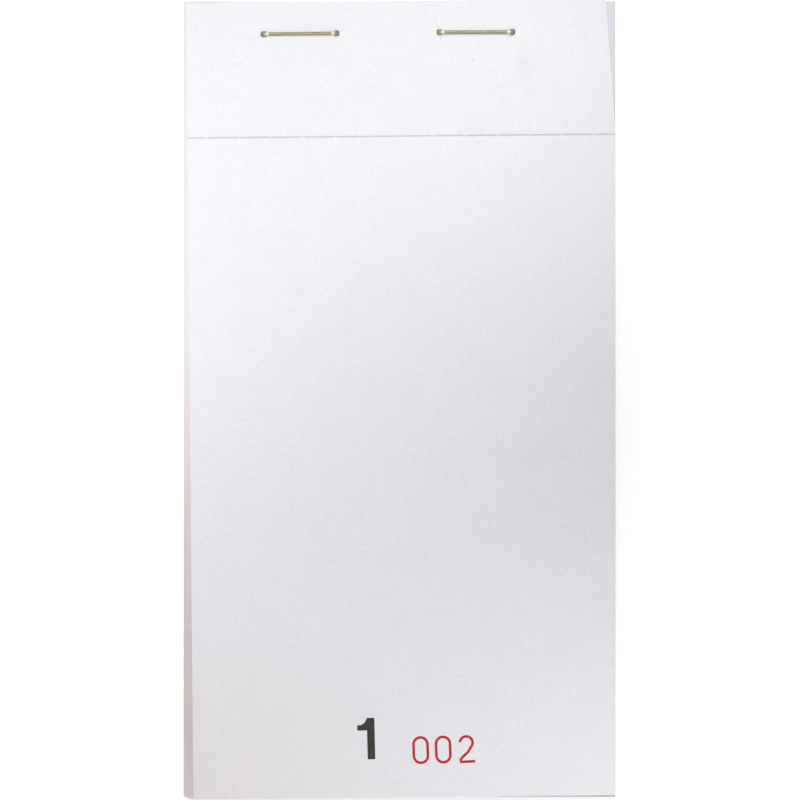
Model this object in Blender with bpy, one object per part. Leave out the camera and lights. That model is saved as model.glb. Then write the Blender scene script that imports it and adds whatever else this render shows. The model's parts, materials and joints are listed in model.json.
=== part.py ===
"""Triplicate invoice book, lying face up.

White, yellow and pink copies are wire-stitched to a back board along a stub. White and yellow
copies tear off at a perforation; the pink copy stays in the book. The leaves of the top set turn up
about the line where the stub ends.

Metres, +Z up, +Y towards the stitched end. The origin is the centre of the board's underside.
"""

import math

import bmesh
import bpy
from mathutils import Matrix, Vector

# Sheets and board
BOOK_WIDTH = 0.076
BOOK_LENGTH = 0.140
STUB_LENGTH = 0.0238
PAPER_THICKNESS = 0.00009
PAPER_GAP = 0.00003
SET_COUNT = 15
BOARD_THICKNESS = 0.0012

# How the sheets lie: the top set has turned about its stitches, the lower sheets less and less
SKEW = math.radians(0.54)
LEFT_SLIP = 0.00055
STUB_SLANT = 0.00175

# Perforation: slits between short paper ties
TIE_PITCH = 0.00568
TIE_LENGTH = 0.0006
SLIT_WIDTH = 0.00025
FOLD_GAP = 0.00003
HINGE_LIFT = 0.00002

# Wire stitches
STITCH_INSET = 0.00565
STITCH_SPACING = 0.0309
STITCH_OFFSET = -0.002
STITCH_TILTS = {"left": math.radians(0.15), "right": math.radians(-0.33)}
CROWN_LENGTH = 0.0137
CLINCH_LENGTH = 0.0046
WIRE_DIAMETER = 0.0006
WIRE_CLEARANCE = 0.00006
WIRE_SEAT = 0.00003

# Derived sizes
COPIES = ("white", "yellow", "pink")
TORN_COPIES = ("white", "yellow")
LEAF_LENGTH = BOOK_LENGTH - STUB_LENGTH
SHEET_COUNT = SET_COUNT * len(COPIES)
SHEET_PITCH = PAPER_THICKNESS + PAPER_GAP
STACK_TOP = BOARD_THICKNESS + SHEET_COUNT * SHEET_PITCH
TIE_COUNT = int(BOOK_WIDTH / TIE_PITCH)
WIRE_RADIUS = WIRE_DIAMETER / 2
WIRE_BEND = 1.2 * WIRE_RADIUS
HOLE_SIDE = WIRE_DIAMETER + 2 * WIRE_CLEARANCE
LEG_REACH = CROWN_LENGTH / 2 - WIRE_RADIUS
STITCH_CENTRE = Vector((STITCH_OFFSET, BOOK_LENGTH / 2 - STITCH_INSET, 0))


def clear_scene():
    for obj in list(bpy.data.objects):
        bpy.data.objects.remove(obj, do_unlink=True)


def make_material(name, colour, roughness, metallic=0.0):
    material = bpy.data.materials.new(name)
    material.use_nodes = True
    shader = material.node_tree.nodes["Principled BSDF"]
    shader.inputs["Base Color"].default_value = (*colour, 1)
    shader.inputs["Roughness"].default_value = roughness
    shader.inputs["Metallic"].default_value = metallic
    return material


def add_object(name, data, material=None, matrix=None, parent=None):
    obj = bpy.data.objects.new(name, data)
    bpy.context.scene.collection.objects.link(obj)
    if material:
        data.materials.append(material)
    obj.parent = parent
    obj.matrix_local = matrix or Matrix()
    return obj


def plate_mesh(name, outline, holes, thickness):
    """A flat plate from z = 0 up, from a closed outline and the closed outlines of its holes."""
    bm = bmesh.new()
    edges = []
    for loop in [outline, *holes]:
        corners = [bm.verts.new((x, y, 0)) for x, y in loop]
        for start, end in zip(corners, corners[1:] + corners[:1]):
            edges.append(bm.edges.new((start, end)))
    bmesh.ops.triangle_fill(bm, use_beauty=True, edges=edges)
    raised = bmesh.ops.extrude_face_region(bm, geom=list(bm.faces))
    lifted = [item for item in raised["geom"] if isinstance(item, bmesh.types.BMVert)]
    bmesh.ops.translate(bm, vec=(0, 0, thickness), verts=lifted)
    bmesh.ops.recalc_face_normals(bm, faces=list(bm.faces))
    mesh = bpy.data.meshes.new(name)
    bm.to_mesh(mesh)
    bm.free()
    return mesh


def rectangle(left, right, low, high):
    return [(left, low), (right, low), (right, high), (left, high)]


def turned_share(depth):
    """1 for the sheets of the top set, falling evenly to 0 at the lowest sheet."""
    last_turned = len(COPIES) - 1
    below = max(0, depth - last_turned)
    return 1 - below / max(1, SHEET_COUNT - 1 - last_turned)


def sheet_frame(depth):
    """Where a sheet lies: its origin is on the stub's end, under the middle of the board's width."""
    turn = Matrix.Rotation(SKEW * turned_share(depth), 4, "Z")
    to_fold = Matrix.Translation((-STITCH_OFFSET, STITCH_INSET - STUB_LENGTH, 0))
    return Matrix.Translation(STITCH_CENTRE) @ turn @ to_fold


def sheet_floor(depth):
    return STACK_TOP - (depth + 1) * SHEET_PITCH + PAPER_GAP


def left_end(depth):
    return -BOOK_WIDTH / 2 + LEFT_SLIP * turned_share(depth)


def right_end(depth, y):
    """The sheet's right end at height y, where the book was trimmed flush with its board."""
    frame = sheet_frame(depth)
    turn = SKEW * turned_share(depth)
    return (BOOK_WIDTH / 2 - frame.translation.x + y * math.sin(turn)) / math.cos(turn)


def tie_ends():
    """The left and right end of each paper tie along the perforation."""
    first = -TIE_PITCH * (TIE_COUNT - 1) / 2
    centres = [first + TIE_PITCH * number for number in range(TIE_COUNT)]
    return [(centre - TIE_LENGTH / 2, centre + TIE_LENGTH / 2) for centre in centres]


def toothed_edge(left, right, root, tip):
    """An edge from left to right whose ties stand out from root to tip."""
    points = [(left, root)]
    for tie_left, tie_right in tie_ends():
        points += [(tie_left, root), (tie_left, tip), (tie_right, tip), (tie_right, root)]
    return points + [(right, root)]


def stitch_frame(side):
    sign = -1 if side == "left" else 1
    line = Matrix.Translation(STITCH_CENTRE) @ Matrix.Rotation(SKEW, 4, "Z")
    place = Matrix.Translation((sign * STITCH_SPACING / 2, 0, 0))
    return line @ place @ Matrix.Rotation(STITCH_TILTS[side], 4, "Z")


def leg_centres():
    """Where the stitches' legs go down through the book."""
    legs = []
    for side in STITCH_TILTS:
        for reach in (-LEG_REACH, LEG_REACH):
            legs.append(stitch_frame(side) @ Vector((reach, 0, 0)))
    return legs


def leg_holes(depth):
    """The square holes that the legs pierce in a sheet."""
    holes = []
    half = HOLE_SIDE / 2
    for leg in leg_centres():
        x, y, _ = sheet_frame(depth).inverted() @ leg
        holes.append(rectangle(x - half, x + half, y - half, y + half))
    return holes


def stub_top(depth):
    """The two top corners of a sheet, right one first. The stub's right end runs in towards the top."""
    right = right_end(depth, STUB_LENGTH) - STUB_SLANT
    return [(right, STUB_LENGTH), (left_end(depth), STUB_LENGTH)]


def leaf_foot(depth):
    """The two bottom corners of a sheet, left one first."""
    return [(left_end(depth), -LEAF_LENGTH), (right_end(depth, -LEAF_LENGTH), -LEAF_LENGTH)]


def whole_sheet(name, depth, perforated):
    """A sheet in one piece: stub and leaf held together by the ties, or unbroken in a pink copy."""
    left = left_end(depth)
    holes = leg_holes(depth)
    if not perforated:
        outline = leaf_foot(depth) + [(right_end(depth, 0), 0)] + stub_top(depth)
        return plate_mesh(name, outline, holes, PAPER_THICKNESS)
    ties = tie_ends()
    half = SLIT_WIDTH / 2
    right_notch = [
        (right_end(depth, -half), -half),
        (ties[-1][1], -half),
        (ties[-1][1], half),
        (right_end(depth, half), half),
    ]
    left_notch = [(left, half), (ties[0][0], half), (ties[0][0], -half), (left, -half)]
    outline = leaf_foot(depth) + right_notch + stub_top(depth) + left_notch
    for (_, slit_left), (slit_right, _) in zip(ties, ties[1:]):
        holes.append(rectangle(slit_left, slit_right, -half, half))
    return plate_mesh(name, outline, holes, PAPER_THICKNESS)


def stub_mesh(name, depth, perforated):
    """The stitched end of a top-set sheet."""
    tip = FOLD_GAP / 2
    root = SLIT_WIDTH / 2 if perforated else tip
    left = left_end(depth)
    right = right_end(depth, root)
    edge = toothed_edge(left, right, root, tip) if perforated else [(left, tip), (right, tip)]
    return plate_mesh(name, edge + stub_top(depth), leg_holes(depth), PAPER_THICKNESS)


def leaf_mesh(name, depth, perforated):
    """The turning part of a top-set sheet."""
    tip = -FOLD_GAP / 2
    root = -SLIT_WIDTH / 2 if perforated else tip
    left = left_end(depth)
    right = right_end(depth, root)
    edge = toothed_edge(left, right, root, tip) if perforated else [(left, tip), (right, tip)]
    return plate_mesh(name, leaf_foot(depth) + edge[::-1], [], PAPER_THICKNESS)


def rounded_path(corners, radius, steps):
    """The corners joined by straight runs and round bends."""
    path = [corners[0]]
    for before, corner, after in zip(corners, corners[1:], corners[2:]):
        back = (before - corner).normalized()
        ahead = (after - corner).normalized()
        centre = corner + (back + ahead) * radius
        for step in range(steps + 1):
            angle = math.pi / 2 * step / steps
            path.append(centre - ahead * radius * math.cos(angle) - back * radius * math.sin(angle))
    return path + [corners[-1]]


def staple_curve(name):
    """Round wire from one clinched tip over the crown to the other, in the stitch's own frame."""
    crown = STACK_TOP + WIRE_SEAT + WIRE_RADIUS
    clinch = WIRE_SEAT + WIRE_RADIUS
    tip = LEG_REACH - CLINCH_LENGTH
    corners = [
        Vector((-tip, 0, clinch)),
        Vector((-LEG_REACH, 0, clinch)),
        Vector((-LEG_REACH, 0, crown)),
        Vector((LEG_REACH, 0, crown)),
        Vector((LEG_REACH, 0, clinch)),
        Vector((tip, 0, clinch)),
    ]
    path = rounded_path(corners, WIRE_BEND, 5)
    curve = bpy.data.curves.new(name, "CURVE")
    curve.dimensions = "3D"
    curve.bevel_depth = WIRE_RADIUS
    curve.bevel_resolution = 2
    curve.use_fill_caps = True
    spline = curve.splines.new("POLY")
    spline.points.add(len(path) - 1)
    for point, place in zip(spline.points, path):
        point.co = (*place, 1)
    return curve


def box_mesh(name, size, centre):
    bm = bmesh.new()
    bmesh.ops.create_cube(bm, size=1, matrix=Matrix.LocRotScale(centre, None, size))
    mesh = bpy.data.meshes.new(name)
    bm.to_mesh(mesh)
    bm.free()
    return mesh


def add_cutter(name, mesh, matrix, parent):
    cutter = add_object(name, mesh, None, matrix, parent)
    cutter.hide_render = True
    cutter.display_type = "WIRE"
    return cutter


def cut(obj, cutter):
    modifier = obj.modifiers.new(cutter.name, "BOOLEAN")
    modifier.operation = "DIFFERENCE"
    modifier.solver = "EXACT"
    modifier.object = cutter


def add_back_board(material, parent):
    """The board, pierced by the legs and dented underneath where they are clinched flush."""
    corner = (BOOK_WIDTH / 2, BOOK_LENGTH / 2)
    outline = rectangle(-corner[0], corner[0], -corner[1], corner[1])
    half = HOLE_SIDE / 2
    holes = [rectangle(p.x - half, p.x + half, p.y - half, p.y + half) for p in leg_centres()]
    mesh = plate_mesh("back_board", outline, holes, BOARD_THICKNESS)
    board = add_object("back_board", mesh, material, None, parent)
    dent_depth = WIRE_SEAT + WIRE_DIAMETER + WIRE_CLEARANCE
    dent_length = CLINCH_LENGTH + HOLE_SIDE / 2 + WIRE_CLEARANCE
    dent_size = Vector((dent_length, HOLE_SIDE, 2 * dent_depth))
    for side in STITCH_TILTS:
        for end, sign in (("outer_left", -1), ("outer_right", 1)):
            middle = sign * (LEG_REACH + HOLE_SIDE / 2 - dent_length / 2)
            name = f"dent_cutter_{side}_{end}"
            dent = box_mesh(name, dent_size, Vector((middle, 0, 0)))
            cut(board, add_cutter(name, dent, stitch_frame(side), parent))
    return board


def add_hinges(parent):
    """An empty on the fold for each leaf of the top set. A leaf carries the ones that lie on it."""
    hinges = {}
    fold = sheet_frame(0)
    fold.translation.z = STACK_TOP + HINGE_LIFT
    holder = parent
    for copy in reversed(COPIES):
        place = fold if holder is parent else Matrix()
        holder = add_object(f"{copy}_leaf_hinge", None, None, place, holder)
        hinges[copy] = holder
    return hinges


def add_top_set(papers, parent):
    hinges = add_hinges(parent)
    for depth, copy in enumerate(COPIES):
        perforated = copy in TORN_COPIES
        floor = sheet_floor(depth)
        place = sheet_frame(depth)
        place.translation.z = floor
        name = f"{copy}_stub_01"
        add_object(name, stub_mesh(name, depth, perforated), papers[copy], place, parent)
        name = f"{copy}_leaf_01"
        drop = Matrix.Translation((0, 0, floor - STACK_TOP - HINGE_LIFT))
        add_object(name, leaf_mesh(name, depth, perforated), papers[copy], drop, hinges[copy])


def add_lower_sets(papers, parent):
    for depth in range(len(COPIES), SHEET_COUNT):
        copy = COPIES[depth % len(COPIES)]
        name = f"{copy}_sheet_{depth // len(COPIES) + 1:02d}"
        mesh = whole_sheet(name, depth, copy in TORN_COPIES)
        place = sheet_frame(depth)
        place.translation.z = sheet_floor(depth)
        add_object(name, mesh, papers[copy], place, parent)


def main():
    clear_scene()
    papers = {
        "white": make_material("white_paper", (0.84, 0.83, 0.86), 0.85),
        "yellow": make_material("yellow_paper", (0.85, 0.785, 0.63), 0.85),
        "pink": make_material("pink_paper", (0.81, 0.58, 0.675), 0.85),
    }
    board = make_material("grey_board", (0.50, 0.47, 0.44), 0.9)
    wire = make_material("brass_wire", (0.55, 0.42, 0.20), 0.35, 1.0)
    book = add_object("invoice_book", None)
    add_back_board(board, book)
    add_lower_sets(papers, book)
    add_top_set(papers, book)
    for side in STITCH_TILTS:
        name = f"staple_{side}"
        add_object(name, staple_curve(name), wire, stitch_frame(side), book)


main()
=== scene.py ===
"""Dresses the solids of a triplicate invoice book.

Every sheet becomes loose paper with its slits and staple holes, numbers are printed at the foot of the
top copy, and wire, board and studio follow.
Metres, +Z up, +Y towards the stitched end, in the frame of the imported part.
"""

import json
import math

import bpy
import numpy as np
from bpy.props import FloatProperty, FloatVectorProperty, IntProperty, PointerProperty
from mathutils import Matrix, Vector


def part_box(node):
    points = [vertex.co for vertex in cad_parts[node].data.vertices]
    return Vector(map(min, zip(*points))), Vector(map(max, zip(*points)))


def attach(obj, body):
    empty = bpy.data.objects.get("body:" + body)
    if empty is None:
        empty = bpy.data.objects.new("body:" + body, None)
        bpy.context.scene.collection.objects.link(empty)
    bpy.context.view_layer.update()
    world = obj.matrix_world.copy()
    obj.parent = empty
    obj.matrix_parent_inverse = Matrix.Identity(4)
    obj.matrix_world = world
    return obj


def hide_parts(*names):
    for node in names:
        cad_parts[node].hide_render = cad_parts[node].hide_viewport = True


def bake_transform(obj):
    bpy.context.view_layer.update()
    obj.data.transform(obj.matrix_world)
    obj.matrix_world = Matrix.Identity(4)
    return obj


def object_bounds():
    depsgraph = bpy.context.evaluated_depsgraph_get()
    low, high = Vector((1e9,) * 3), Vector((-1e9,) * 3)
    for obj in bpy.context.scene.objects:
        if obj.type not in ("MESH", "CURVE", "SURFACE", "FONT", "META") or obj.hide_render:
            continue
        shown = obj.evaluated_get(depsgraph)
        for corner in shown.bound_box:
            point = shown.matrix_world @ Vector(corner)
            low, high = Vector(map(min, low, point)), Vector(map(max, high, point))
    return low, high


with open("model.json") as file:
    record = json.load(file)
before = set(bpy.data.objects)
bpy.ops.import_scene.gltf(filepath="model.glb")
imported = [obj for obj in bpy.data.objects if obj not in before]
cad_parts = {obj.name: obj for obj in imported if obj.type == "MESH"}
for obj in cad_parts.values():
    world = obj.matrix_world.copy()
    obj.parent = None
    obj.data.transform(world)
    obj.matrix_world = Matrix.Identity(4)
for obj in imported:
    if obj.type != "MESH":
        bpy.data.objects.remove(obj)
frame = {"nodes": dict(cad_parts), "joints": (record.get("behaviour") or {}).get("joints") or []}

bl_info = {
    "name": "Triplicate Invoice Book",
    "version": (1, 0, 0),
    "blender": (4, 5, 0),
    "location": "3D View > Sidebar > Invoice Book",
    "description": "Dresses a stitched book of white, yellow and pink copies and stages it for a picture",
    "category": "Object",
}

FLAT_MAP = "flat_paper"
WIRE_MAP = "along_wire"
COPIES = ("white", "yellow", "pink")
TORN_COPIES = ("white", "yellow")
SIDES = ("left", "right")

# Read from the frame
CAD_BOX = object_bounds()
BOARD_LOW, BOARD_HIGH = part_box("back_board")
BOOK_WIDTH = BOARD_HIGH.x - BOARD_LOW.x
BOOK_LENGTH = BOARD_HIGH.y - BOARD_LOW.y
STACK_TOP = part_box("white_stub_01")[1].z
PAPER_THICKNESS = STACK_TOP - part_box("white_stub_01")[0].z
FOLD = next(joint for joint in frame["joints"] if joint["name"] == "white_leaf_turn")
FOLD_CENTRE = Vector(FOLD["pos_m"])
SKEW = math.atan2(-FOLD["axis"][1], -FOLD["axis"][0])
STAPLE_CENTRES = {side: sum(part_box(f"staple_{side}"), Vector()) / 2 for side in SIDES}
STITCH_CENTRE = Vector(((STAPLE_CENTRES["left"] + STAPLE_CENTRES["right"]) / 2)[:2] + (0,))
SHEET_NODES = sorted(
    (name for name in frame["nodes"] if name.startswith(COPIES) and not name.endswith("leaf_01")),
    key=lambda name: -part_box(name)[0].z,
)
SHEET_COUNT = len(SHEET_NODES)
SHEET_FLOORS = [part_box(name)[0].z for name in SHEET_NODES]


# Settings


def length(name, description, default):
    return FloatProperty(name=name, description=description, default=default, unit="LENGTH", precision=5)


def colour(name, description, default):
    return FloatVectorProperty(
        name=name, description=description, default=default, subtype="COLOR", size=3, min=0, max=1
    )


def angle(name, description, degrees):
    return FloatProperty(
        name=name, description=description, default=math.radians(degrees), subtype="ANGLE"
    )


def power(name, description, default):
    return FloatProperty(name=name, description=description, default=default, unit="POWER", precision=3)


class PaperSettings(bpy.types.PropertyGroup):
    """Colours of the copies and how the sheets lie."""

    white: colour("White copy", "Colour of the top copies", (0.838, 0.823, 0.857))
    yellow: colour("Yellow copy", "Colour of the second copies", (0.85, 0.785, 0.63))
    pink: colour("Pink copy", "Colour of the third copies", (0.81, 0.56, 0.70))
    # Colour of the stain and painted shade round the staple legs
    leg_stain_and_shade: colour("Stain", "Colour of the stain round the staple legs", (0.11, 0.085, 0.04))
    # Colour of the painted shade on the bare left margin towards the foot
    margin_shade_colour: colour("Grime", "Colour of the grime on the handled margin", (0.40, 0.37, 0.36))
    # Colour of the painted shade along the perforation's slits
    slit_shade: colour("Rule mark", "Colour that the perforating rule leaves", (0.30, 0.30, 0.33))
    stub_length: length("Stub length", "From the perforation to the stitched end", 0.0238)
    stub_slant: length("Stub slant", "How far the stub's right side runs in towards its end", 0.00175)
    left_slip: length("Left slip", "How far the top set has slipped in from the board's left side", 0.00055)
    bend_length: length("Bend length", "Length over which a turned leaf curves on after its crease", 0.004)
    settle: length("Settle", "How much closer the sheets lie at the foot than at the stitches", 0.000022)
    parting: length("Parting", "How far the book gapes at the foot where a bundle of sheets parts", 0.00021)
    trim: length("Trim", "How unevenly the edges of the sheets line up", 0.00007)


class PerforationSettings(bpy.types.PropertyGroup):
    """The row of slits that lets a copy be torn off."""

    tie_count: IntProperty(name="Ties", description="Paper ties left between the slits", default=13)
    tie_pitch: length("Tie pitch", "From one tie to the next", 0.00568)
    tie_length: length("Tie length", "Width of a tie along the perforation", 0.0006)
    slit_width: length("Slit width", "Width of the cut slits", 0.00008)
    press_depth: length("Press depth", "How far the perforating rule has pressed the paper down", 0.00004)


class StapleSettings(bpy.types.PropertyGroup):
    """The two wire staples."""

    wire_diameter: length("Wire diameter", "Thickness of the wire", 0.0006)
    crown_length: length("Crown length", "Length of a staple over its legs", 0.0137)
    crown_bend: length("Crown bend", "Radius of the wire's centre line at the shoulders", 0.0006)
    crown_sink: length("Crown sink", "How far the crown has pulled into the paper", 0.00008)
    clinch_length: length("Clinch length", "Length of the bent-over ends under the board", 0.0046)
    clinch_bend: length("Clinch bend", "Radius of the wire's centre line at the clinches", 0.00036)
    left_tilt: angle("Left tilt", "Turn of the left staple against the row", 0.15)
    right_tilt: angle("Right tilt", "Turn of the right staple against the row", -0.33)
    knee_width: length("Knee width", "Width of the wire where its shoulders were flattened", 0.00105)
    brass: colour("Brass", "Colour of the wire", (0.32, 0.285, 0.195))
    # Colour of the tarnished patches, and of the painted shade on the shoulders
    tarnish_and_shoulder_shade: colour("Tarnish", "Colour of the dulled wire", (0.21, 0.18, 0.11))
    # Colour of the painted highlight beside the staples' shoulders
    shoulder_highlight: colour("Rubbed", "Colour of the wire where the tool rubbed it bright", (0.68, 0.64, 0.54))


class PrintSettings(bpy.types.PropertyGroup):
    """The numbers at the foot of the top copy."""

    black: colour("Black ink", "Colour of the bold figure", (0.036, 0.034, 0.030))
    red: colour("Red ink", "Colour of the sheet number", (0.51, 0.010, 0.03))
    film: length("Ink film", "How far the ink stands up from the paper", 0.000015)
    stroke: length("Stroke", "Width of the sheet number's stroke", 0.00046)
    numeral_width: length("Numeral width", "Width of a red numeral", 0.00292)
    numeral_height: length("Numeral height", "Height of a red numeral", 0.00493)


class BoardSettings(bpy.types.PropertyGroup):
    """The back board."""

    core: colour("Core", "Colour of the grey pulp", (0.50, 0.46, 0.42))
    lining: colour("Lining", "Colour of the white-lined upper side", (0.865, 0.872, 0.93))
    rounding: length("Rounding", "Radius of the cut edges", 0.00012)


class StageSettings(bpy.types.PropertyGroup):
    """Camera, lamps and floor."""

    camera_height: length("Camera height", "From the top sheet up to the camera", 3.0)
    view_width: length("View width", "What the picture spans at the top sheet", 0.1406)
    view_centre: FloatVectorProperty(
        name="View centre",
        description="Point of the book under the middle of the picture",
        default=(0.00011, -0.00017),
        size=2,
        unit="LENGTH",
        precision=5,
    )
    key_power: power("Key power", "Power of the main lamp at the upper left", 0.111)
    key_tint: colour("Key tint", "Colour of the main lamp's light", (0.955, 1.0, 1.0))
    foot_power: power("Foot power", "Power of the lamp over the lower right corner", 0.057)
    side_power: power("Side power", "Power of the lamp beside the stub", 0.015)
    sky: FloatProperty(name="Sky", description="Strength of the even light all round", default=0.42)
    floor: colour("Floor", "Colour of the floor", (0.86, 0.86, 0.87))


class BookSettings(bpy.types.PropertyGroup):
    """All settings of the book."""

    paper: PointerProperty(type=PaperSettings)
    perforation: PointerProperty(type=PerforationSettings)
    staple: PointerProperty(type=StapleSettings)
    print: PointerProperty(type=PrintSettings)
    board: PointerProperty(type=BoardSettings)
    stage: PointerProperty(type=StageSettings)


# Where things lie


def turned_share(depth):
    """1 for the sheets of the top set, falling evenly to 0 at the lowest sheet."""
    last_turned = len(COPIES) - 1
    return 1 - max(0, depth - last_turned) / (SHEET_COUNT - 1 - last_turned)


def sheet_place(depth):
    """Where a sheet lies: its origin is the middle of its perforation."""
    to_fold = Matrix.Rotation(-SKEW, 4, "Z") @ Matrix.Translation(FOLD_CENTRE - STITCH_CENTRE)
    turn = Matrix.Rotation(SKEW * turned_share(depth), 4, "Z")
    place = Matrix.Translation(STITCH_CENTRE) @ turn @ Matrix.Translation(to_fold.translation)
    place.translation.z = SHEET_FLOORS[depth]
    return place


def staple_place(staple, side):
    tilt = {"left": staple.left_tilt, "right": staple.right_tilt}[side]
    centre = Vector((*STAPLE_CENTRES[side][:2], 0))
    return Matrix.Translation(centre) @ Matrix.Rotation(SKEW + tilt, 4, "Z")


def leg_reach(staple):
    return (staple.crown_length - staple.wire_diameter) / 2


def leg_centres(staple):
    """Where the staples' legs go down through the book."""
    reach = leg_reach(staple)
    return [staple_place(staple, side) @ Vector((x, 0, 0)) for side in SIDES for x in (-reach, reach)]


def tie_ends(perforation):
    """The left and right end of each paper tie along the perforation."""
    first = -perforation.tie_pitch * (perforation.tie_count - 1) / 2
    half = perforation.tie_length / 2
    centres = [first + perforation.tie_pitch * number for number in range(perforation.tie_count)]
    return [(centre - half, centre + half) for centre in centres]


# How the sheets line up, part and are pressed

LEFT_TRIM_SHARE = 0.15
LEFT_WAVER_SHARE = 0.35
WAVER_RANGE = (150, 400)  # radians in a metre
EDGE_DICE = np.random.default_rng(11)
EDGE_TRIM = EDGE_DICE.random((SHEET_COUNT, 4))  # shares of the trim at left, right, foot and top
EDGE_TRIM[0] = 0
WAVER_TURNS = EDGE_DICE.uniform(*WAVER_RANGE, SHEET_COUNT)
WAVER_STARTS = EDGE_DICE.uniform(0, math.tau, SHEET_COUNT)
PARTED_UNDER = (1, 5, 9, 14, 17, 23, 28, 34, 39)  # the sheets under which the book gapes
WAVE_COUNT = 3
WAVE_TURNS = (55, 45)  # most radians in a metre, across and along
WAVE_MIDDLE = 0.55
WAVE_SWING = 0.15
WAVE_DICE = np.random.default_rng(5)
PARTINGS = [
    {
        "under": under,
        "turns": WAVE_DICE.uniform(-1, 1, (WAVE_COUNT, 2)) * WAVE_TURNS,
        "phases": WAVE_DICE.uniform(0, math.tau, WAVE_COUNT),
    }
    for under in PARTED_UNDER
]
PRESSED_SHEETS = 8
CROWN_DENT_WIDTH = 0.00075
LEG_DENT_WIDTH = 0.0011
LEG_DENT_DEPTH = 0.00008
GROOVE_WIDTH = 0.0005


def ripple(parting, x, y):
    """A slow wave over the book, from about 0 to 1."""
    waves = [
        np.sin(across * x + along * y + phase)
        for (across, along), phase in zip(parting["turns"], parting["phases"])
    ]
    return WAVE_MIDDLE + WAVE_SWING * sum(waves)


def moved(place, x, y):
    """Where points of the plane come to lie at a place."""
    return [row[0] * x + row[1] * y + row[3] for row in place[:2]]


def pressed(book, depth, x, y):
    """How far the staples pull the upper sheets down."""
    share = max(0.0, 1 - depth / PRESSED_SHEETS)
    if share == 0:
        return np.zeros_like(x)
    staple = book.staple
    reach = leg_reach(staple)
    total = np.zeros_like(x)
    for side in SIDES:
        along, across = moved(staple_place(staple, side).inverted(), x, y)
        beyond = np.maximum(0, np.abs(along) - reach)
        off = np.hypot(across, beyond)
        total += staple.crown_sink * np.exp(-((off / CROWN_DENT_WIDTH) ** 2))
        for leg in (-reach, reach):
            total += LEG_DENT_DEPTH * np.exp(-((np.hypot(along - leg, across) / LEG_DENT_WIDTH) ** 2))
    return total * share


def sheet_rise(book, depth, x, y):
    """How far a sheet rises above its place in the stitched end, at points of the book."""
    paper = book.paper
    away = np.clip((FOLD_CENTRE.y - y) / (BOOK_LENGTH - paper.stub_length), 0, 1)
    loose = away * away * (3 - 2 * away)
    rise = np.full_like(x, -paper.settle * (SHEET_COUNT - 1 - depth))
    for parting in PARTINGS:
        if parting["under"] >= depth:
            rise += paper.parting * ripple(parting, x, y)
    from_fold = y - FOLD_CENTRE.y - SKEW * (x - FOLD_CENTRE.x)
    groove = np.exp(-((from_fold / GROOVE_WIDTH) ** 2))
    groove *= book.perforation.press_depth * max(0.0, 1 - depth / PRESSED_SHEETS)
    return rise * loose - pressed(book, depth, x, y) - groove


# Sheets

HAIR = 0.000002
FOLD_GAP = 0.000005  # from the fold to the end of a stub or a leaf
SAME_LINE = 0.00001
CLOSEST_LINES = 0.00004
FOLD_ROWS = (0.0008, 0.0016)
STUB_STEP = 0.003
LEAF_STEP = 0.004
CREASE_STEP = 0.0004
CROWN_ROW = 0.00018
DENT_LINES = (0.0006, 0.0009, 0.0013, 0.002, 0.003)
HOLE_CLEARANCE = 0.00006
MAP_STEP = 0.3  # from one sheet to the next on the flat map, so that no two have the same pulp
SHARP_ANGLE = math.radians(40)


def left_edge(book, depth, y):
    """The sheet's left side at height y, not quite straight."""
    waver = 0.5 + 0.5 * math.sin(WAVER_TURNS[depth] * y + WAVER_STARTS[depth]) if depth else 0
    uneven = book.paper.trim * (LEFT_TRIM_SHARE * EDGE_TRIM[depth][0] + LEFT_WAVER_SHARE * waver)
    return -BOOK_WIDTH / 2 + book.paper.left_slip * turned_share(depth) + uneven


def right_edge(book, depth, y):
    """The sheet's right side at height y: trimmed flush with the board, running in beside the stub."""
    paper = book.paper
    turn = SKEW * turned_share(depth)
    flush = (BOOK_WIDTH / 2 - sheet_place(depth).translation.x + y * math.sin(turn)) / math.cos(turn)
    slant = paper.stub_slant * max(0, y) / paper.stub_length
    return flush - slant - paper.trim * EDGE_TRIM[depth][1]


def spread(start, end, step):
    """Even steps from start to end, both included."""
    return list(np.linspace(start, end, max(2, 1 + math.ceil(abs(end - start) / step))))


def in_order(lines, least=SAME_LINE):
    """The lines from low to high, leaving out one that all but repeats the line before it."""
    kept = []
    for line in sorted(lines):
        if not kept or line - kept[-1] > least:
            kept.append(line)
    return kept


def leg_holes(book, depth):
    """The square holes that the legs pierce, as (left, right, low, high) on the sheet."""
    half = book.staple.wire_diameter / 2 + HOLE_CLEARANCE
    to_sheet = sheet_place(depth).inverted()
    places = [to_sheet @ leg for leg in leg_centres(book.staple)]
    return [(p.x - half, p.x + half, p.y - half, p.y + half) for p in places]


def column_lines(book, depth):
    """Lines along the sheet at its ties and its staple holes, between its two sides."""
    lines = [line for ends in tie_ends(book.perforation) for line in ends]
    for left, right, _, _ in leg_holes(book, depth):
        lines += [left, right]
        if depth < PRESSED_SHEETS:
            middle = (left + right) / 2
            lines += [middle + sign * line for line in DENT_LINES for sign in (-1, 1)]
    return in_order(lines, CLOSEST_LINES)


def stub_rows(book, depth, start):
    """Lines across the stub from start to its end, with those that the staples need."""
    end = book.paper.stub_length - HAIR - book.paper.trim * EDGE_TRIM[depth][3]
    lines = [start, *FOLD_ROWS, *spread(STUB_STEP, end, STUB_STEP)]
    holes = leg_holes(book, depth)
    for _, _, low, high in holes:
        lines += [low, high]
    if depth < PRESSED_SHEETS:
        middle = sum(low + high for _, _, low, high in holes) / (2 * len(holes))
        lines += [middle + sign * line for line in (0, CROWN_ROW, *DENT_LINES) for sign in (-1, 1)]
    return in_order(lines, CLOSEST_LINES)


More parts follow.
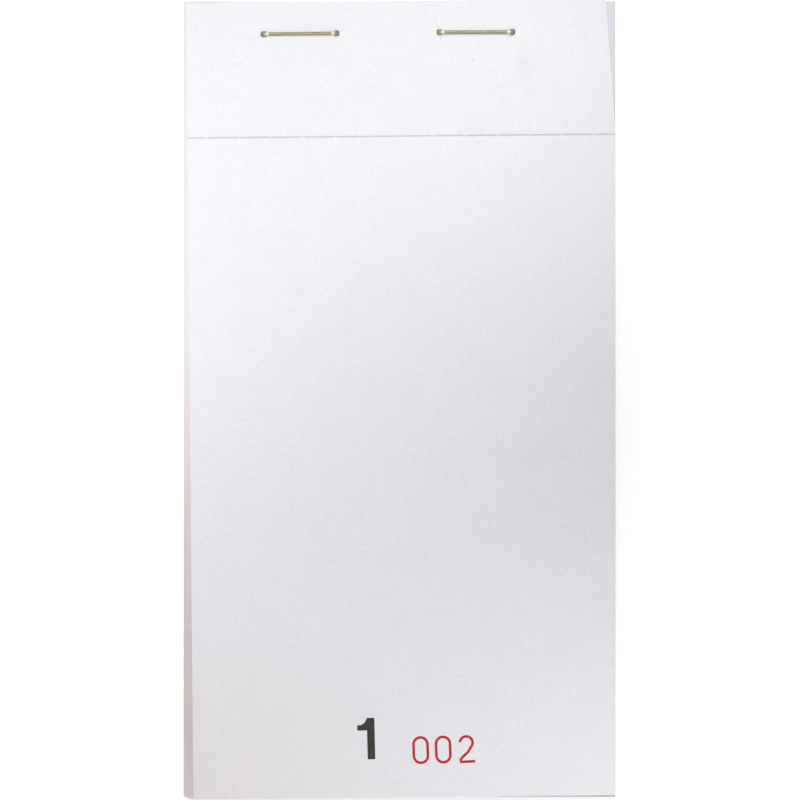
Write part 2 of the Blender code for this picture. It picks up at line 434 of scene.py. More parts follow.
def leaf_rows(book, depth, end):
    """Lines across the leaf from its foot to its end, close together where a turned leaf bends."""
    bend = -book.paper.bend_length
    foot = book.paper.stub_length - BOOK_LENGTH + book.paper.trim * EDGE_TRIM[depth][2]
    bend_step = CREASE_STEP if depth < len(COPIES) else LEAF_STEP
    return in_order([*spread(foot, bend, LEAF_STEP), *spread(bend, -FOLD_ROWS[0], bend_step), end])


def paper_piece(book, name, depth, rows, material):
    """One sheet, or a part of it, on a grid of rows and columns with its slits and holes left open."""
    columns = column_lines(book, depth)
    sides = {y: (left_edge(book, depth, y), right_edge(book, depth, y)) for y in rows}
    flat = np.array([(x, y) for y in rows for x in [sides[y][0], *columns, sides[y][1]]])
    wide = len(columns) + 2
    x, y = moved(sheet_place(depth), flat[:, 0], flat[:, 1])
    low = np.column_stack([x, y, SHEET_FLOORS[depth] + sheet_rise(book, depth, x, y)])
    count = len(low)
    ties = tie_ends(book.perforation)
    holes = leg_holes(book, depth)
    half_slit = book.perforation.slit_width / 2 if COPIES[depth % len(COPIES)] in TORN_COPIES else 0

    def is_open(row, column):
        middle_x, middle_y = flat[[row * wide + column, (row + 1) * wide + column + 1]].mean(0)
        if abs(middle_y) < half_slit:
            return not any(left < middle_x < right for left, right in ties)
        return any(a < middle_x < b and c < middle_y < d for a, b, c, d in holes)

    cells = [(row, column) for row in range(len(rows) - 1) for column in range(wide - 1)]
    paper = {cell for cell in cells if not is_open(*cell)}
    faces = []
    for row, column in sorted(paper):
        a = row * wide + column
        b, c, d = a + 1, a + wide + 1, a + wide
        faces.append((a + count, b + count, c + count, d + count))
        faces.append((d, c, b, a))
        edges = {(row - 1, column): (a, b), (row, column + 1): (b, c)}
        edges |= {(row + 1, column): (c, d), (row, column - 1): (d, a)}
        for beside, (start, end) in edges.items():
            if beside not in paper:
                faces.append((start, end, end + count, start + count))
    used, numbers = np.unique(np.array(faces), return_inverse=True)
    points = np.concatenate([low, low + (0, 0, PAPER_THICKNESS)])[used]
    on_map = np.concatenate([flat, flat])[used] + (0, -MAP_STEP * depth)
    return new_piece(name, points, numbers.reshape(-1, 4).tolist(), material, {FLAT_MAP: on_map})


def new_piece(name, points, faces, material, maps=None):
    """A smooth mesh object with sharp corners, and a texture map from a place for each point."""
    mesh = bpy.data.meshes.new(name)
    mesh.from_pydata([tuple(point) for point in points], [], faces)
    mesh.shade_smooth()
    mesh.set_sharp_from_angle(angle=SHARP_ANGLE)
    mesh.materials.append(material)
    corners = np.zeros(len(mesh.loops), int)
    mesh.loops.foreach_get("vertex_index", corners)
    for map_name, places in (maps or {}).items():
        layer = mesh.uv_layers.new(name=map_name)
        layer.uv.foreach_set("vector", np.asarray(places, np.float32)[corners].ravel())
    piece = bpy.data.objects.new(name, mesh)
    bpy.context.scene.collection.objects.link(piece)
    return piece


# Material building


def put(tree, kind, inputs=None, **settings):
    """A node with its settings. Each input is a value or the socket that feeds it."""
    node = tree.nodes.new(kind)
    for name, value in settings.items():
        setattr(node, name, value)
    for name, value in (inputs or {}).items():
        if isinstance(value, bpy.types.NodeSocket):
            tree.links.new(value, node.inputs[name])
        else:
            node.inputs[name].default_value = value
    return node


def calc(tree, operation, first, second=0.0, third=0.0):
    return put(tree, "ShaderNodeMath", {0: first, 1: second, 2: third}, operation=operation).outputs[0]


def times(tree, first, second):
    return calc(tree, "MULTIPLY", first, second)


def scaled(tree, value, scale, start):
    """Value times scale, counted from start."""
    return calc(tree, "MULTIPLY_ADD", value, scale, start)


def vector_calc(tree, operation, first, second=(0, 0, 0)):
    node = put(tree, "ShaderNodeVectorMath", {0: first, 1: second}, operation=operation)
    return node.outputs["Value" if operation in ("DISTANCE", "LENGTH") else "Vector"]


def axes(tree, vector):
    """The X, Y and Z of a vector."""
    return put(tree, "ShaderNodeSeparateXYZ", {0: vector}).outputs


def blended(tree, share, first, second):
    """Colour first, going to second by share."""
    return put(tree, "ShaderNodeMix", {0: share, 6: first, 7: second}, data_type="RGBA").outputs[2]


def noise(tree, place, scale, detail=3.0, roughness=0.6):
    inputs = {"Vector": place, "Scale": scale, "Detail": detail, "Roughness": roughness}
    return put(tree, "ShaderNodeTexNoise", inputs).outputs[0]


def stretched(tree, place, turn, scale):
    """Coordinates drawn out along a turned direction. Scale is the size of a feature each way."""
    inputs = {"Vector": place, "Rotation": (0, 0, turn), "Scale": scale}
    return put(tree, "ShaderNodeMapping", inputs, vector_type="TEXTURE").outputs[0]


def ramp(tree, value, low, high):
    """0 up to low, 1 from high, smooth between."""
    inputs = {"Value": value, "From Min": low, "From Max": high}
    return put(tree, "ShaderNodeMapRange", inputs, interpolation_type="SMOOTHSTEP").outputs[0]


def new_group(name, inputs, outputs, kind="ShaderNodeTree"):
    """An empty node group with its sockets. Returns the group, its inputs and its results."""
    group = bpy.data.node_groups.new(name, kind)
    for in_out, sockets in (("INPUT", inputs), ("OUTPUT", outputs)):
        for socket, socket_type in sockets.items():
            group.interface.new_socket(socket, in_out=in_out, socket_type=f"NodeSocket{socket_type}")
    return group, group.nodes.new("NodeGroupInput").outputs, group.nodes.new("NodeGroupOutput").inputs


# The pulp's clouds and grain, as noise in a metre, and its crossing fibres
CLOUD_SCALE = 170
GRAIN_SCALE = 1500
GRAIN_WEIGHT = 2.4
PULP_MIDDLE = 1.7
FIBRE_TURNS = (0.5, -0.9)
FIBRE_SIZE = (0.0016, 0.0003, 1)
PAPER_ROUGHNESS = 0.76
GRAIN_ROUGHNESS = 0.16


def paper_fibre_group(name):
    """Cloudy pulp and crossing fibres. Place is in metres on the flat sheet."""
    sockets = {"Place": "Vector", "Colour": "Color", "Cloud": "Float", "Fibre": "Float"}
    results = {"Colour": "Color", "Roughness": "Float", "Height": "Float"}
    group, given, out = new_group(name, sockets, results)
    cloud, grain = (noise(group, given["Place"], scale) for scale in (CLOUD_SCALE, GRAIN_SCALE))
    drawn = [stretched(group, given["Place"], turn, FIBRE_SIZE) for turn in FIBRE_TURNS]
    fibre = calc(group, "ADD", *(noise(group, place, 1, detail=1, roughness=0.5) for place in drawn))
    pulp = scaled(group, grain, GRAIN_WEIGHT, cloud)
    shade = scaled(group, calc(group, "SUBTRACT", pulp, PULP_MIDDLE), given["Cloud"], 1.0)
    shade = scaled(group, calc(group, "SUBTRACT", fibre, 1.0), given["Fibre"], shade)
    group.links.new(vector_calc(group, "MULTIPLY", given["Colour"], shade), out["Colour"])
    group.links.new(scaled(group, grain, GRAIN_ROUGHNESS, PAPER_ROUGHNESS), out["Roughness"])
    group.links.new(calc(group, "ADD", calc(group, "ADD", fibre, cloud), grain), out["Height"])
    return group


SPOT_RAGGEDNESS = 1.2


def spot_group(name):
    """A blurred, ragged spot of colour laid over a surface."""
    sockets = {"Place": "Vector", "Colour": "Color", "Spot": "Color"}
    sockets |= {"Centre": "Vector", "Radius": "Float", "Strength": "Float"}
    group, given, out = new_group(name, sockets, {"Colour": "Color"})
    ragged = noise(group, given["Place"], calc(group, "DIVIDE", SPOT_RAGGEDNESS, given["Radius"]))
    away = vector_calc(group, "DISTANCE", given["Place"], given["Centre"])
    near = calc(group, "SUBTRACT", calc(group, "DIVIDE", away, given["Radius"]), SPOT_RAGGEDNESS / 2)
    near = scaled(group, ragged, SPOT_RAGGEDNESS, near)
    share = times(group, ramp(group, near, 1.0, 0.0), given["Strength"])
    group.links.new(blended(group, share, given["Colour"], given["Spot"]), out["Colour"])
    return group


WORN_GRAIN = 0.6
WORN_RANGE = (0.55, 1.05)


def worn_colour_group(name):
    """Two colours in uneven patches with fine streaks, for metal, ink and board."""
    sockets = {"Place": "Vector", "Bright": "Color", "Dull": "Color"}
    sockets |= {"Patch": "Float", "Grain": "Float", "Bias": "Float"}
    results = {"Colour": "Color", "Mask": "Float", "Height": "Float"}
    group, given, out = new_group(name, sockets, results)
    patch = noise(group, given["Place"], given["Patch"])
    grain = noise(group, given["Place"], given["Grain"], detail=2)
    mixed = calc(group, "ADD", scaled(group, grain, WORN_GRAIN, patch), given["Bias"])
    mask = ramp(group, mixed, *WORN_RANGE)
    group.links.new(blended(group, mask, given["Bright"], given["Dull"]), out["Colour"])
    group.links.new(mask, out["Mask"])
    group.links.new(grain, out["Height"])
    return group


def use_group(tree, name, build, inputs):
    """The outputs of a node group, which is built the first time it is used."""
    group = bpy.data.node_groups.get(name) or build(name)
    return put(tree, "ShaderNodeGroup", inputs, node_tree=group).outputs


def opaque(rgb):
    return (*rgb, 1)


def fibrous(tree, place, rgb, cloud, fibre):
    """Colour, roughness and height of paper."""
    inputs = {"Place": place, "Colour": opaque(rgb), "Cloud": cloud, "Fibre": fibre}
    return use_group(tree, "paper_fibre", paper_fibre_group, inputs)


def worn(tree, place, bright, dull, patch, grain, bias):
    """Colour, mask and height of a surface worn from one colour to another."""
    inputs = {"Place": place, "Bright": opaque(bright), "Dull": opaque(dull)}
    inputs |= {"Patch": patch, "Grain": grain, "Bias": bias}
    return use_group(tree, "worn_colour", worn_colour_group, inputs)


def facing_up(tree):
    """1 where a surface faces up, 0 at its sides and underneath."""
    normal = put(tree, "ShaderNodeNewGeometry").outputs["Normal"]
    return ramp(tree, axes(tree, normal)["Z"], *FACING_UP)


def in_picture(tree):
    """1 for the rays that are seen, straight or in a mirror, and 0 for those that only light things."""
    ray = put(tree, "ShaderNodeLightPath").outputs
    seen = calc(tree, "MAXIMUM", ray["Is Camera Ray"], ray["Is Glossy Ray"])
    return calc(tree, "MAXIMUM", seen, ray["Is Transmission Ray"])


def new_material(name, uv_map=None):
    """A material with its Principled shader. Returns it, its tree, the shader and places on the piece."""
    material = bpy.data.materials.new(name)
    material.use_nodes = True
    tree = material.node_tree
    if uv_map:
        place = put(tree, "ShaderNodeUVMap", uv_map=uv_map).outputs[0]
    else:
        place = put(tree, "ShaderNodeTexCoord").outputs["Object"]
    return material, tree, tree.nodes["Principled BSDF"], place


def connect(tree, shader, base, roughness=None, height=None, depth=0.0):
    tree.links.new(base, shader.inputs["Base Color"])
    if roughness is not None:
        tree.links.new(roughness, shader.inputs["Roughness"])
    if height is not None:
        bump = put(tree, "ShaderNodeBump", {"Height": height, "Distance": depth, "Strength": 1.0})
        tree.links.new(bump.outputs[0], shader.inputs["Normal"])


# Materials

FACING_UP = (0.7, 0.9)
# The bare left margin of the sheets: where it ends, and where it has painted light and painted shade along
# the flat sheet
MARGIN_END = (0.0018, 0.001)
MARGIN_LIGHT_FROM = (-0.06, -0.027)
MARGIN_LIGHT_SHARE = 0.85
MARGIN_SHADE_FROM = (-0.045, -0.075)
MARGIN_SHADE_TO = (-0.118, -0.1)
MARGIN_SHADE_SCALE = 130
MARGIN_SHADE_PATCHES = 0.4
LEAST_MARGIN_SHADE = 0.05


def margin_painted_light_and_shade(tree, place, shade, paper):
    """Colour of a sheet whose bare left margin has painted light beside the stub and painted shade towards
    the foot.
    """
    flat = axes(tree, place)
    margin = ramp(tree, flat["X"], *(end - BOOK_WIDTH / 2 for end in MARGIN_END))
    margin = times(tree, margin, facing_up(tree))
    along = calc(tree, "WRAP", flat["Y"], MAP_STEP / 2, -MAP_STEP / 2)
    # Painted light: the margin goes towards the white copy's colour beside the stub
    margin_light = times(tree, margin, ramp(tree, along, *MARGIN_LIGHT_FROM))
    shade = blended(tree, times(tree, margin_light, MARGIN_LIGHT_SHARE), shade, opaque(paper.white))
    # Painted shade: the margin darkens towards the foot, in uneven patches
    down_edge = put(tree, "ShaderNodeCombineXYZ", {1: along}).outputs[0]
    patch = noise(tree, down_edge, MARGIN_SHADE_SCALE, detail=2)
    margin_shade = times(tree, ramp(tree, along, *MARGIN_SHADE_FROM), ramp(tree, along, *MARGIN_SHADE_TO))
    margin_shade = times(tree, margin_shade, scaled(tree, patch, MARGIN_SHADE_PATCHES, LEAST_MARGIN_SHADE))
    return blended(tree, times(tree, margin, margin_shade), shade, opaque(paper.margin_shade_colour))


def paper_material(book, copy, exposed=True):
    """Carbonless copy paper: smooth, uncoated, faintly cloudy."""
    material, tree, shader, place = new_material(f"{copy}_copy_paper", FLAT_MAP)
    pulp = fibrous(tree, place, getattr(book.paper, copy), cloud=0.06, fibre=0.05)
    # The bare left margin gets painted light and painted shade
    shade = margin_painted_light_and_shade(tree, place, pulp["Colour"], book.paper) if exposed else pulp["Colour"]
    connect(tree, shader, shade, pulp["Roughness"], pulp["Height"], depth=0.000012)
    shader.inputs["Specular IOR Level"].default_value = 0.25
    return material


# Painted shade along the perforation's slits: where it fades out and is full, its blur at a tie and its
# strength
SLIT_SHADE_REACH = (0.00021, 0.00006)
SLIT_SHADE_BLUR = 0.0001
SLIT_SHADE_AT_TIES = 0.35
SLIT_SHADE_STRENGTH = 0.32


def slit_shade(tree, place, perforation):
    """Painted shade along the perforation: beside the slits, and less at the ties."""
    flat = axes(tree, place)
    beside = ramp(tree, calc(tree, "ABSOLUTE", flat["Y"]), *SLIT_SHADE_REACH)
    half = perforation.tie_pitch / 2
    start = half if perforation.tie_count % 2 == 0 else 0.0
    from_tie = calc(tree, "WRAP", calc(tree, "ADD", flat["X"], start), half, -half)
    tie_half = perforation.tie_length / 2
    slit = ramp(tree, calc(tree, "ABSOLUTE", from_tie), tie_half - SLIT_SHADE_BLUR, tie_half + SLIT_SHADE_BLUR)
    share = times(tree, beside, scaled(tree, slit, 1 - SLIT_SHADE_AT_TIES, SLIT_SHADE_AT_TIES))
    return times(tree, share, SLIT_SHADE_STRENGTH)


# Marks on the top copy: where they lie in the book, radius, colour and strength
MARKS = (
    ((0.0217, 0.0587, 0), 0.0026, (0.74, 0.52, 0.54), 0.16),
    ((0.0231, 0.0567, 0), 0.0044, (0.78, 0.66, 0.67), 0.14),
    ((0.0113, 0.0557, 0), 0.0042, (0.68, 0.70, 0.76), 0.08),
    ((0.0128, 0.0596, 0), 0.00028, (0.35, 0.33, 0.31), 0.6),
    ((0.0073, 0.0634, 0), 0.00026, (0.42, 0.41, 0.40), 0.6),
)
# Stain and painted shade round each staple leg: radius and strength
LEG_STAIN_AND_SHADE_RADIUS = 0.0005
LEG_STAIN_AND_SHADE_STRENGTH = 0.3
# Faint darker pinkish bands run from a start to an end, as a row of spots
FAINT_BANDS = (
    ((0.0326, -0.0364, 0), (0.0375, -0.0334, 0)),
    ((0.0340, 0.0012, 0), (0.0374, 0.0047, 0)),
)
BAND_SPOTS = (0, 0.33, 0.67, 1)
BAND_RADIUS = 0.0017
BAND_COLOUR = (0.86, 0.70, 0.74)
BAND_STRENGTH = 0.16
WARM_TONE = (1.03, 0.995, 0.99)
WARM_REACH = (0.06, 0.01)


def top_copy_material(book):
    """White copy paper with its stains and specks, stain and painted shade round the staple legs, painted
    shade along the slits, and faint darker bands.
    """
    material = paper_material(book, "white", exposed=False)
    material.name = "white_top_copy_paper"
    tree = material.node_tree
    shader = tree.nodes["Principled BSDF"]
    place = next(node for node in tree.nodes if node.type == "UVMAP").outputs[0]
    shade = shader.inputs["Base Color"].links[0].from_socket
    to_sheet = sheet_place(0).inverted()
    legs = leg_centres(book.staple)
    # Stain and painted shade round the staple legs
    marks = [(leg, LEG_STAIN_AND_SHADE_RADIUS, book.paper.leg_stain_and_shade, LEG_STAIN_AND_SHADE_STRENGTH) for leg in legs]
    marks += [(Vector(centre), *look) for centre, *look in MARKS]
    for start, end in FAINT_BANDS:
        spots = [Vector(start).lerp(Vector(end), share) for share in BAND_SPOTS]
        marks += [(spot, BAND_RADIUS, BAND_COLOUR, BAND_STRENGTH) for spot in spots]
    for centre, radius, rgb, strength in marks:
        x, y, _ = to_sheet @ centre
        inputs = {"Place": place, "Colour": shade, "Spot": opaque(rgb), "Centre": (x, y, 0)}
        inputs |= {"Radius": radius, "Strength": strength}
        shade = use_group(tree, "spot", spot_group, inputs)["Colour"]
    corner = to_sheet @ Vector((-BOOK_WIDTH / 2, -BOOK_LENGTH / 2, 0))
    away = vector_calc(tree, "DISTANCE", place, (corner.x, corner.y, 0))
    warm = vector_calc(tree, "MULTIPLY", shade, WARM_TONE)
    shade = blended(tree, ramp(tree, away, *WARM_REACH), shade, warm)
    # Painted shade along the perforation's slits
    slit_shaded = slit_shade(tree, place, book.perforation)
    tree.links.new(blended(tree, slit_shaded, shade, opaque(book.paper.slit_shade)), shader.inputs["Base Color"])
    return material


# Along the wire from where a shoulder begins: the stretch with a painted highlight, and the shoulder with
# painted shade
HIGHLIGHT_FROM = (-0.0005, -0.0003)
HIGHLIGHT_TO = (0.0001, -0.0001)
SHOULDER_SHADE_FROM = (0, 0.0003)
SHOULDER_SHADE_SHARE = 0.25
DRAWN_OUT = (1, 0.1, 1)
WIRE_ROUGHNESS = 0.56
DULL_ROUGHNESS = 0.15


def wire_material(book):
    """Brass-plated wire, dulled in patches, with a painted highlight beside its shoulders and painted shade
    on them.
    """
    staple = book.staple
    material, tree, shader, place = new_material("brass_plated_wire", WIRE_MAP)
    drawn = stretched(tree, place, 0, DRAWN_OUT)
    brass = worn(tree, drawn, staple.brass, staple.tarnish_and_shoulder_shade, patch=500, grain=2600, bias=-0.12)
    from_middle = calc(tree, "ABSOLUTE", axes(tree, place)["X"])
    stretches = (HIGHLIGHT_FROM, HIGHLIGHT_TO, SHOULDER_SHADE_FROM)
    knee = knee_start(staple)
    shoulder_highlight, past_highlight, shoulder_shade = (
        ramp(tree, from_middle, knee + start, knee + end) for start, end in stretches
    )
    # Painted shade on the shoulders
    shade = blended(tree, times(tree, shoulder_shade, SHOULDER_SHADE_SHARE), brass["Colour"], opaque(staple.tarnish_and_shoulder_shade))
    # Painted highlight beside the shoulders
    shade = blended(tree, times(tree, shoulder_highlight, past_highlight), shade, opaque(staple.shoulder_highlight))
    rough = scaled(tree, brass["Mask"], DULL_ROUGHNESS, WIRE_ROUGHNESS)
    connect(tree, shader, shade, rough, brass["Height"], depth=0.000006)
    shader.inputs["Metallic"].default_value = 1.0
    return material


UNDER_INK = 0.8
INK_ROUGHNESS = 0.5
THIN_ROUGHNESS = 0.2


def ink_material(name, rgb, thin):
    """Printing ink, a little uneven over the paper's grain."""
    material, tree, shader, place = new_material(name)
    paler = [channel + (UNDER_INK - channel) * thin for channel in rgb]
    ink = worn(tree, place, rgb, paler, patch=900, grain=4000, bias=-0.05)
    rough = scaled(tree, ink["Mask"], THIN_ROUGHNESS, INK_ROUGHNESS)
    connect(tree, shader, ink["Colour"], rough, ink["Height"], depth=0.000004)
    shader.inputs["Specular IOR Level"].default_value = 0.15
    return material


FLECK_SHADE = 0.8


def board_material(book):
    """Pulp board, grey and flecked at its edges and underside, lined with white paper on its upper side."""
    material, tree, shader, place = new_material("white_lined_grey_board")
    core = book.board.core
    flecks = [FLECK_SHADE * channel for channel in core]
    pulp = worn(tree, place, core, flecks, patch=1100, grain=5200, bias=-0.08)
    lining = fibrous(tree, place, book.board.lining, cloud=0.08, fibre=0.06)
    shade = blended(tree, facing_up(tree), pulp["Colour"], lining["Colour"])
    connect(tree, shader, shade, lining["Roughness"], pulp["Height"], depth=0.00002)
    return material


GLOW_FROM = (0.05, 0.09)
GLOW_AT_BOOK = 0.48


def floor_material(stage):
    """Pale floor that reads as white in the picture and keeps the book's shadow."""
    material, tree, shader, place = new_material("studio_floor")
    matt = fibrous(tree, place, stage.floor, cloud=0.02, fibre=0.0)
    connect(tree, shader, matt["Colour"], matt["Roughness"])
    round_book = vector_calc(tree, "MULTIPLY", place, (1, BOOK_WIDTH / BOOK_LENGTH, 1))
    from_book = ramp(tree, vector_calc(tree, "LENGTH", round_book), *GLOW_FROM)
    strength = scaled(tree, from_book, 1 - GLOW_AT_BOOK, GLOW_AT_BOOK)
    glow = put(tree, "ShaderNodeEmission", {"Color": (1, 1, 1, 1), "Strength": strength})
    seen = put(tree, "ShaderNodeAddShader", {0: shader.outputs[0], 1: glow.outputs[0]})
    mixed = put(tree, "ShaderNodeMixShader", {0: in_picture(tree), 1: shader.outputs[0], 2: seen.outputs[0]})
    tree.links.new(mixed.outputs[0], tree.nodes["Material Output"].inputs["Surface"])
    return material


def paper_materials(book):
    """One material for each copy, made once."""
    return {
        copy: bpy.data.materials.get(f"{copy}_copy_paper") or paper_material(book, copy) for copy in COPIES
    }


# Staples

BEND_STEPS = 8
WIRE_SIDES = 20
TIP_CHISEL = 0.45
TIP_OVERRUN = 0.8
# How the flattened shoulders come in along the crown, and go out down the legs
KNEE_BEGINS = 0.0001
KNEE_ENDS = (0.0009, 0.0005)
KNEE_SQUARENESS = 1.5


def rounded_path(corners, radii):
    """The corners joined by straight runs and round bends, one radius for each bend."""
    path = [corners[0]]
    for before, corner, after, radius in zip(corners, corners[1:], corners[2:], radii):
        back = (before - corner).normalized()
        ahead = (after - corner).normalized()
        centre = corner + (back + ahead) * radius
        for step in range(BEND_STEPS + 1):
            turn = math.pi / 2 * step / BEND_STEPS
            path.append(centre - ahead * radius * math.cos(turn) - back * radius * math.sin(turn))
    return path + [corners[-1]]


def wire_path(book):
    """The wire's centre line from one clinched tip over the crown to the other."""
    staple = book.staple
    low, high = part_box("staple_left")
    radius = staple.wire_diameter / 2
    crown = high.z - radius - staple.crown_sink
    clinch = low.z + radius
    reach = leg_reach(staple)
    tip = reach - staple.clinch_length
    half = [Vector((tip, 0, clinch)), Vector((reach, 0, clinch)), Vector((reach, 0, crown))]
    corners = [Vector((-p.x, 0, p.z)) for p in half] + half[::-1]
    bends = (staple.clinch_bend, staple.crown_bend)
    return rounded_path(corners, bends + bends[::-1])


def knee_start(staple):
    """How far from a staple's middle its shoulders begin to bend."""
    return leg_reach(staple) - staple.crown_bend


def knee_flattened(staple, centre, crown):
    """1 at a staple's shoulders, which the bending tool flattened, and 0 along its crown and legs."""
    start = knee_start(staple)
    outward = np.interp(abs(centre.x), [start, start + KNEE_BEGINS], [0, 1])
    upward = np.interp(centre.z, [crown - drop for drop in KNEE_ENDS], [0, 1])
    return outward * upward


def wire_section(turn, flattened):
    """A point round the wire's section: a circle, going to a rounded square where it is flattened."""
    sharpness = 1 / (1 + KNEE_SQUARENESS * flattened)
    across, up = math.cos(turn), math.sin(turn)
    return math.copysign(abs(across) ** sharpness, across), math.copysign(abs(up) ** sharpness, up)


def staple_piece(book, side, material):
    path = wire_path(book)
    place = staple_place(book.staple, side)
    radius = book.staple.wire_diameter / 2
    tips = ((path[0], path[1]), (path[-1], path[-2]))
    first, final = (tip + (tip - before).normalized() * radius * TIP_OVERRUN for tip, before in tips)
    path = [first, *path, final]
    steps = [(end - start).length for start, end in zip(path, path[1:])]
    run = -sum(steps) / 2
    crown = max(point.z for point in path)
    points, on_map, faces = [], [], []
    for number, centre in enumerate(path):
        before, after = path[max(0, number - 1)], path[min(len(path) - 1, number + 1)]
        run += (centre - before).length
        out = (after - before).normalized().cross(Vector((0, 1, 0)))
        flat = TIP_CHISEL if number in (0, len(path) - 1) else 1.0
        flattened = knee_flattened(book.staple, centre, crown)
        wide = 1 + (book.staple.knee_width / book.staple.wire_diameter - 1) * flattened
        for step in range(WIRE_SIDES):
            turn = math.tau * step / WIRE_SIDES
            across, up = wire_section(turn, flattened)
            offset = Vector((0, across * wide, 0)) + out * up * flat
            points.append(place @ (centre + offset * radius))
            on_map.append((run, radius * abs(math.pi - turn)))
    for ring in range(len(path) - 1):
        for step in range(WIRE_SIDES):
            ahead = (step + 1) % WIRE_SIDES
            a, b = ring * WIRE_SIDES + step, ring * WIRE_SIDES + ahead
            faces.append((a, b, b + WIRE_SIDES, a + WIRE_SIDES))
    last = (len(path) - 1) * WIRE_SIDES
    faces.append(tuple(range(WIRE_SIDES))[::-1])
    faces.append(tuple(range(last, last + WIRE_SIDES)))
    return new_piece(f"{side}_wire_staple", points, faces, material, {WIRE_MAP: on_map})


# Printed numbers

ARC_STEPS = 14
# The 2's bowl, its middle, the degrees that its hook goes through, and the neck and foot below it, as shares
# of its width and height
TWO_BOWL = 0.9
TWO_BOWL_MIDDLE = -0.02
TWO_HOOK = (175, -38)
TWO_NECK_AND_FOOT = ((0.09, -0.11), (-0.32, -0.31), (-0.47, -0.42), (-0.5, -0.5), (0.57, -0.49))


def arc(x, y, size, start, end):
    """Points of a circle between two angles in degrees, counted from its right."""
    turns = [math.radians(start + (end - start) * step / ARC_STEPS) for step in range(ARC_STEPS + 1)]
    return [(x + size / 2 * math.cos(turn), y + size / 2 * math.sin(turn)) for turn in turns]


def zero_line(width, height):
    """The middle of a 0's stroke: straight sides between two half circles, closed."""
    straight = (height - width) / 2
    return arc(0, straight, width, 0, 180) + arc(0, -straight, width, 180, 360)


def two_line(width, height):
    """The middle of a 2's stroke: a round bowl, a slanting neck and a straight foot."""
    bowl = width * TWO_BOWL
    hook = arc(TWO_BOWL_MIDDLE * width, (height - bowl) / 2, bowl, *TWO_HOOK)
    return hook + [(x * width, y * height) for x, y in TWO_NECK_AND_FOOT]


def ink_piece(book, name, flat, faces, place, material):
    """A film of ink on the top copy, from flat points and faces in the figure's own frame."""
    to_book = sheet_place(0) @ place
    across = [to_book @ Vector((x, y, 0)) for x, y in flat]
    x = np.array([p.x for p in across])
    y = np.array([p.y for p in across])
    paper = SHEET_FLOORS[0] + PAPER_THICKNESS + sheet_rise(book, 0, x, y)
    under = np.column_stack([x, y, paper - book.print.film])
    over = np.column_stack([x, y, paper + book.print.film])
    count = len(flat)
    edges = dict.fromkeys(edge for face in faces for edge in zip(face, face[1:] + face[:1]))
    rim = [(start, end) for start, end in edges if (end, start) not in edges]
    solid = [tuple(corner + count for corner in face) for face in faces]
    solid += [tuple(face[::-1]) for face in faces]
    solid += [(start, end, end + count, start + count) for start, end in rim]
    return new_piece(name, np.concatenate([under, over]), solid, material)


def stroke_piece(book, name, line, closed, place, material):
    """A stroke of even width drawn along a line."""
    flat, faces = [], []
    final = len(line) - 1
    for number, (x, y) in enumerate(line):
        before = line[number - 1] if number or closed else line[0]
        after = line[(number + 1) % len(line)] if number < final or closed else line[final]
        ahead = Vector((after[0] - before[0], after[1] - before[1])).normalized()
        across = Vector((-ahead.y, ahead.x)) * book.print.stroke / 2
        flat += [(x + across.x, y + across.y), (x - across.x, y - across.y)]
        if number < final or closed:
            onward = (number + 1) % len(line)
            faces.append((2 * number, 2 * number + 1, 2 * onward + 1, 2 * onward))
    return ink_piece(book, name, flat, faces, place, material)


# The bold figure's stem and the flag at the left of its head
STEM_WIDTH = 0.00133
FIGURE_HEIGHT = 0.00727
FLAG_REACH = 0.00172
FLAG_DEPTH = 0.00094
FLAG_DROP = 0.00125
FLAG_PULL = 0.25
FLAG_CURVE = 0.77
BOW_STEPS = 8
FIGURE_PLACE = (-0.0049, -0.0633)
FIGURE_TURN = math.radians(0.8)
NUMERAL_PLACES = {
    "first_zero": (0.00375, -0.0617),
    "second_zero": (0.0077, -0.0616),
    "two": (0.01185, -0.0615),
}
NUMERAL_TURN = math.radians(1.6)


def bow(start, pull, end):
    """Points of a curve that leaves start towards pull and comes to end from there."""
    points = []
    for step in range(BOW_STEPS + 1):
        share = step / BOW_STEPS
        near, middle, far = (1 - share) ** 2, 2 * share * (1 - share), share**2
        points.append(tuple(near * a + middle * b + far * c for a, b, c in zip(start, pull, end)))
    return points


def one_outline():
    """The bold figure 1: a stem with a curved flag at the left of its head."""
    left, right = -STEM_WIDTH / 2, STEM_WIDTH / 2
    flag_left, flag_top = left - FLAG_REACH, FIGURE_HEIGHT - FLAG_DROP
    pull, curve_end = ((left - FLAG_REACH * share, flag_top) for share in (FLAG_PULL, FLAG_CURVE))
    neck = bow((left, FIGURE_HEIGHT), pull, curve_end)
    flag = [(flag_left, flag_top), (flag_left, flag_top - FLAG_DEPTH), (left, flag_top - FLAG_DEPTH)]
    return [(right, 0), (right, FIGURE_HEIGHT), *neck, *flag, (left, 0)]


def on_top_copy(x, y, turn):
    """A place on the flat top copy from a place in the book."""
    flat = sheet_place(0).inverted() @ Vector((x, y, 0))
    return Matrix.Translation((flat.x, flat.y, 0)) @ Matrix.Rotation(turn, 4, "Z")


# Operators


def carry(piece, body, slot, *nodes):
    """The piece rides on a body and stands for solids; its slot is not used."""
    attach(piece, body)
    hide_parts(*nodes)


